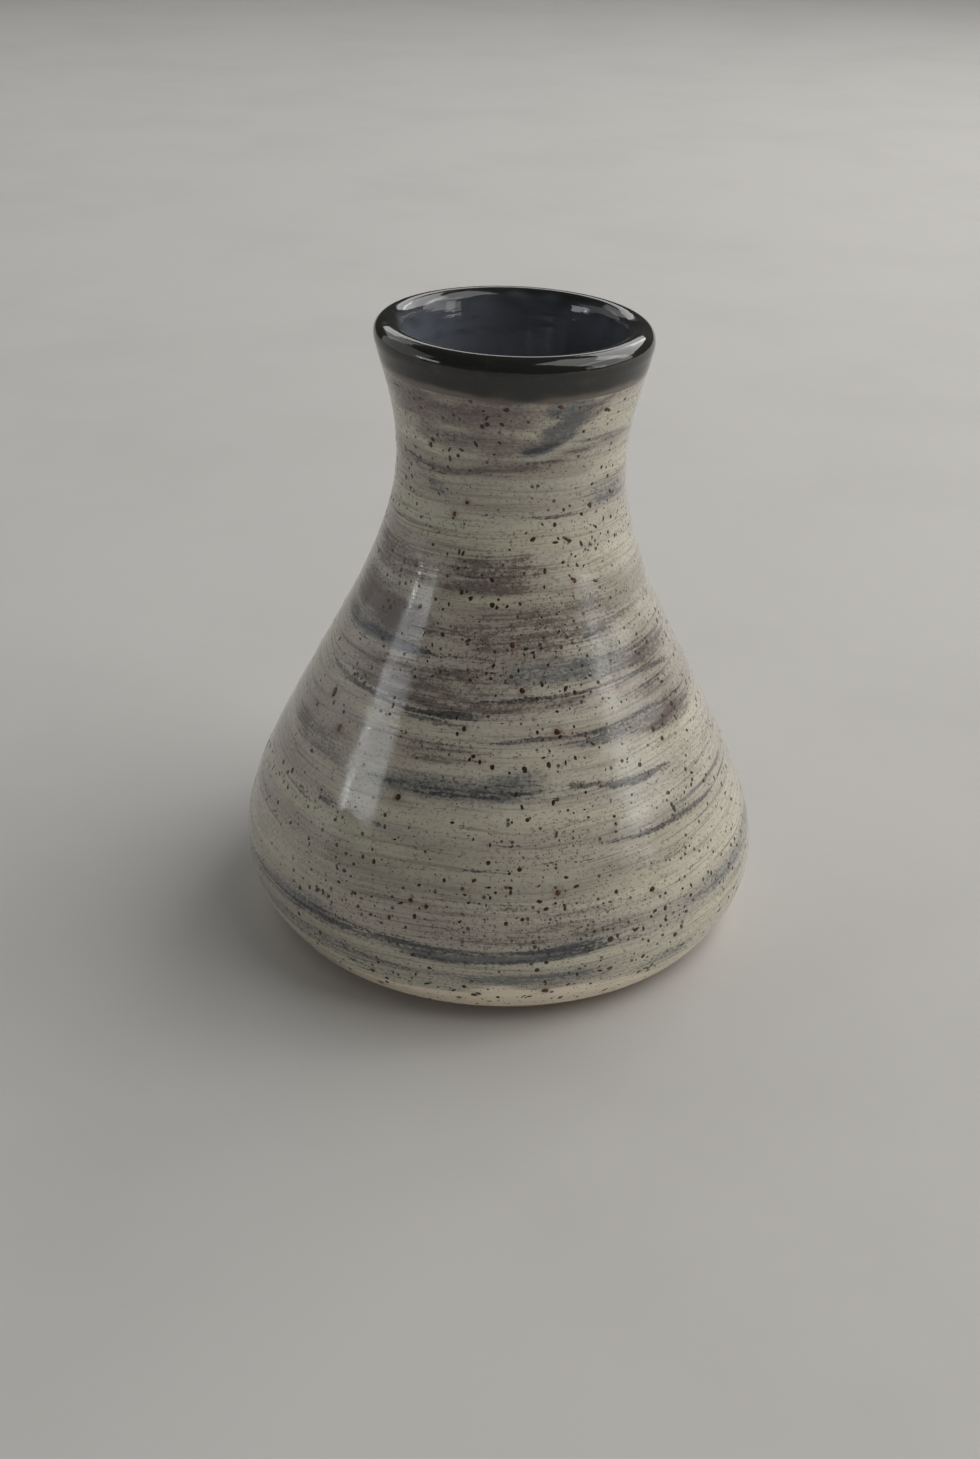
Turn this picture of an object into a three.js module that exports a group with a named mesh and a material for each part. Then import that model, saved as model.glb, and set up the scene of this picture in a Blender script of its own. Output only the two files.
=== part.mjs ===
// A round-bellied stoneware vase, thrown on a wheel and glazed in three coats.
//
// Millimetres, +Z up. The vase stands on z = 0 and turns about the Z axis.
// One line, the glazed outline, runs from the foot up the outside, over the lip
// and down the inside to the middle of the floor. Each coat of glaze is a stretch
// of that line given a thickness. The clay is what lies under the coats.
import * as THREE from 'three';

// The finished vase, measured over its glaze.
const height = 128;
const bellyRadius = 55.2;      // widest place
const bellyHeight = 16;        // height of the widest place
const footInset = 7.5;         // how far the foot stands in from the belly
const neckRadius = 22.8;       // narrowest place
const neckDrop = 27;           // from the top of the lip down to the narrowest place
const lipFlare = 4.2;          // how far the lip stands out beyond the neck
const lipRadius = 2.7;         // the rolled lip is round, with this radius

// Wall and floor.
const bellyWall = 5.6;
const neckWall = 4.4;
const floorThickness = 7;
const cornerRadius = 14;       // inside, where the wall turns into the floor
const footEdge = 4;            // rounded bare edge under the belly, inwards
const footBand = 3;            // the same edge, upwards: the glaze stops above it

// Glaze.
const coatThickness = 0.6;
const coatGap = 0.3;           // between a coat and the clay, and between two coats
const rimBandOutside = 7.4;    // dark rim coat, down from the top of the lip
const rimBandInside = 4;       // the same coat, down the inside of the mouth

// How full the curves are, as shares of the height that each one spans.
const lowerFullness = 0.42;
const shoulderFullness = 0.23;
const neckFullness = 0.31;
const flareFullness = 0.4;
const flareAngle = THREE.MathUtils.degToRad(12);   // slope of the wall where it meets the lip

// How finely the solids are cut.
const turns = 48;
const wallSteps = 20;
const lipSteps = 10;
const edgeSteps = 3;

// Sizes that follow from the ones above.
const neckHeight = height - neckDrop;
const footRadius = bellyRadius - footInset;
const lipCentre = new THREE.Vector2(neckRadius + lipFlare - lipRadius, height - lipRadius);
const innerBellyRadius = bellyRadius - bellyWall;
const innerNeckRadius = neckRadius - neckWall;
const clayDepth = coatThickness + coatGap;

// A curve that leaves a and reaches b along two given directions.
function easeTo(path, a, b, fromDirection, toDirection, fromShare, toShare) {
  const span = Math.abs(b.y - a.y);
  const first = fromDirection.clone().multiplyScalar(fromShare * span).add(a);
  const second = toDirection.clone().multiplyScalar(-toShare * span).add(b);
  path.bezierCurveTo(first.x, first.y, second.x, second.y, b.x, b.y);
}

function makeOutline() {
  const up = new THREE.Vector2(0, 1);
  const down = new THREE.Vector2(0, -1);
  const outwards = new THREE.Vector2(1, 1).normalize();
  const intoLip = new THREE.Vector2(Math.sin(flareAngle), Math.cos(flareAngle));
  const outOfLip = new THREE.Vector2(-Math.sin(flareAngle), -Math.cos(flareAngle));

  const foot = new THREE.Vector2(footRadius, 0);
  const belly = new THREE.Vector2(bellyRadius, bellyHeight);
  const neck = new THREE.Vector2(neckRadius, neckHeight);
  const lipOuter = new THREE.Vector2(lipRadius, 0).rotateAround(new THREE.Vector2(), -flareAngle);
  lipOuter.add(lipCentre);
  const lipInner = new THREE.Vector2(-lipRadius, 0).rotateAround(new THREE.Vector2(), -flareAngle);
  lipInner.add(lipCentre);
  const innerNeck = new THREE.Vector2(innerNeckRadius, neckHeight);
  const innerBelly = new THREE.Vector2(innerBellyRadius, bellyHeight);

  const outline = new THREE.Path();
  outline.moveTo(foot.x, foot.y);
  easeTo(outline, foot, belly, outwards, up, lowerFullness, lowerFullness);
  easeTo(outline, belly, neck, up, up, shoulderFullness, neckFullness);
  easeTo(outline, neck, lipOuter, up, intoLip, flareFullness, flareFullness);
  outline.absarc(lipCentre.x, lipCentre.y, lipRadius, -flareAngle, Math.PI - flareAngle, false);
  easeTo(outline, lipInner, innerNeck, outOfLip, down, flareFullness, flareFullness);
  easeTo(outline, innerNeck, innerBelly, down, down, neckFullness, shoulderFullness);
  outline.absellipse(innerBellyRadius - cornerRadius, bellyHeight,
    cornerRadius, bellyHeight - floorThickness, 0, -Math.PI / 2, true);
  outline.lineTo(0, floorThickness);
  return outline;
}

const outline = makeOutline();

// Where along the outline the lip's crown is, found by going up the outside.
function findCrown() {
  let crown = 0;
  const samples = 2000;
  for (let i = 0; i <= samples; i += 1) {
    if (outline.getPointAt(i / samples).y > outline.getPointAt(crown).y) crown = i / samples;
  }
  return crown;
}

// The place between two others where the outline passes a height.
function placeAtHeight(wantedHeight, start, end) {
  let low = start;
  let high = end;
  const rising = outline.getPointAt(end).y > outline.getPointAt(start).y;
  for (let i = 0; i < 40; i += 1) {
    const middle = (low + high) / 2;
    const below = outline.getPointAt(middle).y < wantedHeight;
    if (below === rising) low = middle;
    else high = middle;
  }
  return (low + high) / 2;
}

// A point of the outline, moved a depth into the wall.
function sunk(place, depth) {
  const tangent = outline.getTangentAt(place);
  const point = outline.getPointAt(place);
  point.x -= tangent.y * depth;
  point.y += tangent.x * depth;
  if (Math.abs(point.x) < 1e-6) point.x = 0;
  return point;
}

function sunkLine(start, end, depth, steps) {
  const points = [];
  for (let i = 0; i <= steps; i += 1) {
    points.push(sunk(start + (end - start) * i / steps, depth));
  }
  return points;
}

const crown = findCrown();
const gapShare = coatGap / outline.getLength();
const glazeStart = placeAtHeight(footBand, 0, crown);
const rimStart = placeAtHeight(height - rimBandOutside, glazeStart, crown);
const rimEnd = placeAtHeight(height - rimBandInside, crown, 1);

// Turn a profile of (radius, height) points about the Z axis.
function turned(points) {
  const geometry = new THREE.LatheGeometry(points, turns);
  geometry.rotateX(Math.PI / 2);
  return geometry;
}

// A coat of glaze over one stretch of the outline. The one that runs to the
// middle of the floor starts and ends on the axis. The others close on themselves.
function coat(start, end, steps) {
  const against = sunkLine(start, end, coatThickness, steps).reverse();
  const profile = [...against, ...sunkLine(start, end, 0, steps)];
  if (end < 1) profile.push(against[0].clone());
  return turned(profile);
}

// The clay: a flat base, the rounded bare edge, then everything under the coats.
function clay() {
  const surface = [
    ...sunkLine(glazeStart, rimStart, clayDepth, wallSteps),
    ...sunkLine(rimStart, rimEnd, clayDepth, lipSteps).slice(1),
    ...sunkLine(rimEnd, 1, clayDepth, wallSteps).slice(1),
  ];
  const aboveEdge = surface[0];
  const underEdge = new THREE.Vector2(footRadius - footEdge - clayDepth, 0);
  const corner = new THREE.Vector2(footRadius - clayDepth, 0);
  const edge = new THREE.QuadraticBezierCurve(underEdge, corner, aboveEdge);
  const base = new THREE.Vector2(0, 0);
  return turned([base, ...edge.getPoints(edgeSteps), ...surface.slice(1)]);
}

function named(name, geometry, color, roughness) {
  const material = new THREE.MeshStandardMaterial({ color, roughness, metalness: 0 });
  const mesh = new THREE.Mesh(geometry, material);
  mesh.name = name;
  return mesh;
}

const vase = new THREE.Group();
vase.add(named('clay_body', clay(), '#b9a78f', 0.85));
vase.add(named('outer_glaze', coat(glazeStart, rimStart - gapShare, wallSteps), '#a8a294', 0.25));
vase.add(named('rim_glaze', coat(rimStart, rimEnd, lipSteps), '#22211f', 0.12));
vase.add(named('liner_glaze', coat(rimEnd + gapShare, 1, wallSteps), '#20242b', 0.12));

export default vase;
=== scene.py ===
# A small stoneware vase: brushed slip under a clear glaze, iron specks, dark rim and dark inside.
# Metres throughout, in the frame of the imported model. The front of the vase faces -Y.
# Angles round the vase are in degrees from the front, positive to the right.
import math

import bpy
import numpy as np
from mathutils import Matrix, Vector, noise
from mathutils.bvhtree import BVHTree


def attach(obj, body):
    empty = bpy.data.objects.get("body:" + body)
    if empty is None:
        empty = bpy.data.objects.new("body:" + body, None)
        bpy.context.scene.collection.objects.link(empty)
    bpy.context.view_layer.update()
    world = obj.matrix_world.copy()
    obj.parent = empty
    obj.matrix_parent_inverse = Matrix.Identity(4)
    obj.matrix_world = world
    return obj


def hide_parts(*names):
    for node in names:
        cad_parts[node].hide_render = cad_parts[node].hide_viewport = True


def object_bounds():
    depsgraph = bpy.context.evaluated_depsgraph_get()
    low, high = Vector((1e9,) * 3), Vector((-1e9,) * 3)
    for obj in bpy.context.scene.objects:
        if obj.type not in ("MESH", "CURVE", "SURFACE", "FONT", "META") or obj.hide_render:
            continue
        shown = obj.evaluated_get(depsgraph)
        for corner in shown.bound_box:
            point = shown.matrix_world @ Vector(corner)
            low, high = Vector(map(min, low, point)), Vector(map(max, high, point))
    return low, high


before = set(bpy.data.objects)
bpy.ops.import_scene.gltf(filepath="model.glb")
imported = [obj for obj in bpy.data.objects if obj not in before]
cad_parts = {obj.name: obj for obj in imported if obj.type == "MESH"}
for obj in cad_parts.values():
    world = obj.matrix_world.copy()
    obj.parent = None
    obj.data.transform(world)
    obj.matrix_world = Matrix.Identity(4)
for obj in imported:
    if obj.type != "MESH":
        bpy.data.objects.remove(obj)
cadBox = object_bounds()
mm = 0.001
vaseHeight = cadBox[1].z
print("vase: frame loaded, height", round(vaseHeight / mm, 1), "mm")


# Small helpers for node trees, used by the shapes and by the glazes.

def feed(socket, value):
    # a socket takes a plain value, another socket, or a node, which gives its first output
    if isinstance(value, bpy.types.Node):
        value = value.outputs[0]
    if isinstance(value, bpy.types.NodeSocket):
        socket.id_data.links.new(value, socket)
    else:
        socket.default_value = value


def addNode(tree, kind, sockets, **settings):
    # a new node, with its settings made and then its sockets fed
    node = tree.nodes.new(kind)
    for name, value in settings.items():
        setattr(node, name, value)
    for key, value in sockets.items():
        feed(node.inputs[key], value)
    return node


def combine(kind, values, **settings):
    # a node fed in order with these values, in the tree that one of them is from
    tree = next(value.id_data for value in values if isinstance(value, bpy.types.NodeSocket))
    return addNode(tree, kind, dict(enumerate(values)), **settings).outputs[0]


def calc(operation, *values):
    return combine("ShaderNodeMath", values, operation=operation)


def plus(total, *others):
    for value in others:
        total = calc("ADD", total, value)
    return total


def times(product, *others):
    for value in others:
        product = calc("MULTIPLY", product, value)
    return product


def minus(first, second):
    return calc("SUBTRACT", first, second)


def rampTo(value, low, high, fromLow=0.0, fromHigh=1.0):
    # 0 below low, 1 above high, with a soft shoulder at both ends
    given = (value, low, high, fromLow, fromHigh)
    return combine("ShaderNodeMapRange", given, interpolation_type="SMOOTHSTEP")


def joined(x, y, z):
    return combine("ShaderNodeCombineXYZ", (x, y, z))


def parts(vector):
    return addNode(vector.id_data, "ShaderNodeSeparateXYZ", {0: vector}).outputs


def noiseAt(vector, scale, detail=2.0, roughness=0.5):
    sockets = {"Vector": vector, "Scale": scale, "Detail": detail, "Roughness": roughness}
    return addNode(vector.id_data, "ShaderNodeTexNoise", sockets).outputs[0]


def streaksAt(vector, across, up, detail=2.0, roughness=0.5):
    # noise with one scale round the vase and another up it
    sockets = {"Vector": vector, "Scale": (across, across, up)}
    spread = addNode(vector.id_data, "ShaderNodeMapping", sockets).outputs[0]
    return noiseAt(spread, 1.0, detail, roughness)


def tint(red, green, blue):
    # a colour as it is read off a screen, 0 to 255, made linear
    def linear(value):
        share = value / 255
        return share / 12.92 if share <= 0.04045 else ((share + 0.055) / 1.055) ** 2.4
    return (linear(red), linear(green), linear(blue), 1.0)


def putInScene(name, data):
    thing = bpy.data.objects.new(name, data)
    bpy.context.scene.collection.objects.link(thing)
    return thing


def newPiece(name, points, faces=()):
    mesh = bpy.data.meshes.new(name)
    mesh.from_pydata(points, [], faces)
    return putInScene(name, mesh)


# The profile lines, read from the turned solids of the frame.

profile = dict(
    exposedAbove=0.75 * mm,  # a coat's outer face lies at least this far from the clay
    sameColumn=1e-7,         # how near the XZ plane a vertex of the first column lies
    coatDepth=0.6 * mm,
    outerStep=0.42 * mm,     # spacing of rings on the outer skin, the rim and the liner
    rimStep=0.3 * mm,
    linerStep=1.2 * mm,
    outerHidden=10,          # a face against the clay keeps one ring in so many
    rimHidden=3,
    linerHidden=5,
    rimInnerLap=3.0 * mm,    # how far the rim coat laps over the liner inside
    rimProud=0.07 * mm,      # how far it stands out, after a rise of this length at each end
    rimRise=0.9 * mm,
    rimInnerRise=8.0 * mm,
    rimClear=0.010 * mm,
    rimSink=0.022 * mm,      # its two ends dip under the coats they lap over
    rimEdge=0.05 * mm,       # its thickness at the ends
)

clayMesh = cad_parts["clay_body"].data
clayTree = BVHTree.FromPolygons(
    [v.co for v in clayMesh.vertices], [tuple(p.vertices) for p in clayMesh.polygons])


def ringLine(node, everything=False):
    # The rings of a turned solid as (radius, height), in order along its profile.
    # One column of vertices, on +X, has every ring exactly once.
    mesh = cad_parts[node].data
    near = profile["sameColumn"]
    links = {}
    for polygon in mesh.polygons:
        if not everything and clayTree.find_nearest(polygon.center)[3] < profile["exposedAbove"]:
            continue
        corners = [mesh.vertices[i].co for i in polygon.vertices]
        onColumn = {(round(co.x, 7), round(co.z, 7)) for co in corners if abs(co.y) < near and co.x > -near}
        if len(onColumn) == 2:
            first, second = onColumn
            links.setdefault(first, set()).add(second)
            links.setdefault(second, set()).add(first)
    ends = sorted((p for p, beside in links.items() if len(beside) == 1), key=lambda p: (p[1], p[0]))
    line, before = [ends[0]], None
    while True:
        ahead = [p for p in links[line[-1]] if p != before]
        if not ahead:
            return np.array(line)
        before = line[-1]
        line.append(ahead[0])


def lengthsAlong(line):
    return np.concatenate([[0.0], np.cumsum(np.hypot(*np.diff(line, axis=0).T))])


def smoothLine(line, step):
    # a smooth curve through the rings, cut again at an even step
    along = lengthsAlong(line)
    slopes = np.gradient(line, along, axis=0)
    count = max(2, int(round(along[-1] / step)))
    wanted = np.linspace(0, along[-1], count + 1)
    index = np.clip(np.searchsorted(along, wanted, side="right") - 1, 0, len(along) - 2)
    span = along[index + 1] - along[index]
    t = ((wanted - along[index]) / span)[:, None]
    a, b = line[index], line[index + 1]
    va, vb = slopes[index] * span[:, None], slopes[index + 1] * span[:, None]
    return ((2 * t**3 - 3 * t**2 + 1) * a + (t**3 - 2 * t**2 + t) * va
            + (3 * t**2 - 2 * t**3) * b + (t**3 - t**2) * vb)


def readLine(node, step):
    # from the wider end to the narrower: up the outside, over the lip, down the inside
    line = smoothLine(ringLine(node), step)
    return line[::-1] if line[0, 0] < line[-1, 0] else line


def sideways(line, depth):
    # the line moved into the wall by a depth, which may change along it
    tangent = np.gradient(line, axis=0)
    tangent /= np.hypot(*tangent.T)[:, None]
    into = np.stack([-tangent[:, 1], tangent[:, 0]], axis=1)
    moved = line + into * np.reshape(depth, (-1, 1))
    moved[:, 0] = np.maximum(moved[:, 0], 0.0)
    return moved


def thinned(line, every):
    # one point in so many, and always the last
    kept = list(range(0, len(line), every))
    if kept[-1] != len(line) - 1:
        kept.append(len(line) - 1)
    return line[kept]


outerLine = readLine("outer_glaze", profile["outerStep"])
rimLine = readLine("rim_glaze", profile["rimStep"])
linerLine = readLine("liner_glaze", profile["linerStep"])
clayLine = ringLine("clay_body", everything=True)
print("vase: profile lines read,", len(outerLine), "rings outside")


# The wheel: a profile turned about Z, with the marks and the lean that a thrown pot has.

throwing = dict(
    columns=240,
    hiddenColumns=120,
    ridgeDepth=0.22 * mm,     # throwing ridges, up and down the wall
    ridgesPerMetre=130.0,
    ridgeWander=(0.35, 3.1),  # how much they change round the vase, and their seed
    swayDepth=0.35 * mm,      # slower swelling of the wall
    swaysPerMetre=38.0,
    swayWander=(0.6, 7.7),
    footFade=(0.002, 0.012),  # both fade towards the foot, the lip and the middle of the floor
    lipFade=(0.004, 0.016),
    floorFade=(0.012, 0.018),
    leanAcross=(-9.4 * mm, 21.8 * mm, -12.1 * mm),  # cubic drift of the axis towards +X
    mouthTilt=-0.019,         # the mouth's plane, rise over run along +X
    tiltFrom=0.7,             # share of the height where the tilt sets in
    weld=1e-6,
)


def axisAt(height):
    # how far the leaning axis has drifted towards +X
    rise = height / vaseHeight
    first, second, third = throwing["leanAcross"]
    return rise * (first + rise * (second + rise * third))


def newTree(name, inputs, output):
    # a node tree for a shape, with its named inputs and one output
    tree = bpy.data.node_groups.new(name, "GeometryNodeTree")
    for label, kind in inputs:
        tree.interface.new_socket(name=label, in_out="INPUT", socket_type="NodeSocket" + kind)
    tree.interface.new_socket(name=output, in_out="OUTPUT", socket_type="NodeSocketGeometry")
    given = tree.nodes.new("NodeGroupInput").outputs
    return tree, given, tree.nodes.new("NodeGroupOutput").inputs[output]


def endTree(tree, shape, material, result):
    # smooth shading, then real geometry and its material
    smooth = addNode(tree, "GeometryNodeSetShadeSmooth", {"Geometry": shape})
    real = addNode(tree, "GeometryNodeRealizeInstances", {"Geometry": smooth})
    paint = addNode(tree, "GeometryNodeSetMaterial", {"Geometry": real, "Material": material})
    feed(result, paint)


def makeWheelTree():
    tree, given, result = newTree("turnOnWheel", (
        ("Profile", "Geometry"), ("Columns", "Int"), ("Ridge Depth", "Float"), ("Ridges Per Metre", "Float"),
        ("Sway Depth", "Float"), ("Sways Per Metre", "Float"), ("Lean", "Vector"), ("Mouth Tilt", "Float"),
        ("Height", "Float"), ("Material", "Material")), "Piece")

    # a grid with one row for each profile point and one column for each turn step
    size = addNode(tree, "GeometryNodeAttributeDomainSize", {"Geometry": given["Profile"]})
    columnsAndSeam = plus(given["Columns"], 1.0)
    grid = addNode(tree, "GeometryNodeMeshGrid", {
        "Vertices X": size.outputs["Point Count"], "Vertices Y": columnsAndSeam})
    index = tree.nodes.new("GeometryNodeInputIndex").outputs[0]
    row = calc("FLOOR", calc("DIVIDE", plus(index, 0.5), columnsAndSeam))
    column = minus(index, times(row, columnsAndSeam))
    sample = addNode(tree, "GeometryNodeSampleIndex", {
        "Geometry": given["Profile"], "Index": row,
        "Value": tree.nodes.new("GeometryNodeInputPosition")}, data_type="FLOAT_VECTOR")
    radius, _, height = parts(sample.outputs[0])

    # the seam is at the back
    share = calc("DIVIDE", column, given["Columns"])
    angle = times(minus(share, 0.5), math.tau)
    sine, cosine = calc("SINE", angle), calc("COSINE", angle)

    # ridges and swelling depend on angle and height only, so all the layers of the wall share them
    def wave(perMetre, depth, roundTheVase, seed):
        spot = joined(plus(times(sine, roundTheVase), seed), times(cosine, roundTheVase),
                      times(height, perMetre))
        swing = minus(noiseAt(spot, 1.0, 1.0, 0.4), 0.5)
        return times(swing, times(depth, 2.0))

    ridges = wave(given["Ridges Per Metre"], given["Ridge Depth"], *throwing["ridgeWander"])
    sways = wave(given["Sways Per Metre"], given["Sway Depth"], *throwing["swayWander"])
    belowLip = minus(given["Height"], height)
    fade = times(rampTo(height, *throwing["footFade"]),
                 rampTo(belowLip, *throwing["lipFade"]), rampTo(radius, *throwing["floorFade"]))
    thrownRadius = plus(radius, times(plus(ridges, sways), fade))

    # lean of the axis and tilt of the mouth
    rise = calc("DIVIDE", height, given["Height"])
    first, second, third = parts(given["Lean"])
    curving = plus(second, times(rise, third))
    drift = times(rise, plus(first, times(rise, curving)))
    across = times(thrownRadius, sine)
    tilted = times(across, given["Mouth Tilt"], rampTo(rise, throwing["tiltFrom"], 1.0))
    spot = joined(plus(across, drift), times(thrownRadius, cosine, -1.0), plus(height, tilted))

    # the height as thrown stays with each vertex, because the brushwork follows it
    store = addNode(tree, "GeometryNodeStoreNamedAttribute", {
        "Geometry": grid, "Name": "turnHeight", "Value": height})
    move = addNode(tree, "GeometryNodeSetPosition", {"Geometry": store, "Position": spot})
    merge = addNode(tree, "GeometryNodeMergeByDistance", {"Geometry": move, "Distance": throwing["weld"]})
    endTree(tree, merge, given["Material"], result)
    return tree


def applyTree(piece, tree, inputs):
    # run a node tree once and keep only the plain mesh
    modifier = piece.modifiers.new(tree.name, "NODES")
    modifier.node_group = tree
    identifiers = {item.name: item.identifier for item in tree.interface.items_tree
                   if item.item_type == "SOCKET" and item.in_out == "INPUT"}
    for name, value in inputs.items():
        modifier[identifiers[name]] = value
    piece.data.update()
    evaluated = piece.evaluated_get(bpy.context.evaluated_depsgraph_get())
    mesh = bpy.data.meshes.new_from_object(evaluated)
    piece.modifiers.clear()
    piece.data = mesh
    mesh.name = piece.name


def faceOutwards(mesh):
    # a closed shape whose faces look inwards has a negative volume
    mesh.calc_loop_triangles()
    volume = 0.0
    for triangle in mesh.loop_triangles:
        a, b, c = (mesh.vertices[i].co for i in triangle.vertices)
        volume += a.dot(b.cross(c))
    if volume < 0:
        mesh.flip_normals()


def turnPiece(name, line, material, columns=throwing["columns"]):
    piece = newPiece(name, [(r, 0.0, z) for r, z in line])
    applyTree(piece, wheelTree, {
        "Columns": columns,
        "Ridge Depth": throwing["ridgeDepth"], "Ridges Per Metre": throwing["ridgesPerMetre"],
        "Sway Depth": throwing["swayDepth"], "Sways Per Metre": throwing["swaysPerMetre"],
        "Lean": throwing["leanAcross"], "Mouth Tilt": throwing["mouthTilt"],
        "Height": vaseHeight, "Material": material,
    })
    faceOutwards(piece.data)
    return piece


wheelTree = makeWheelTree()


# Brushwork: slip strokes laid on by hand.

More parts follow.
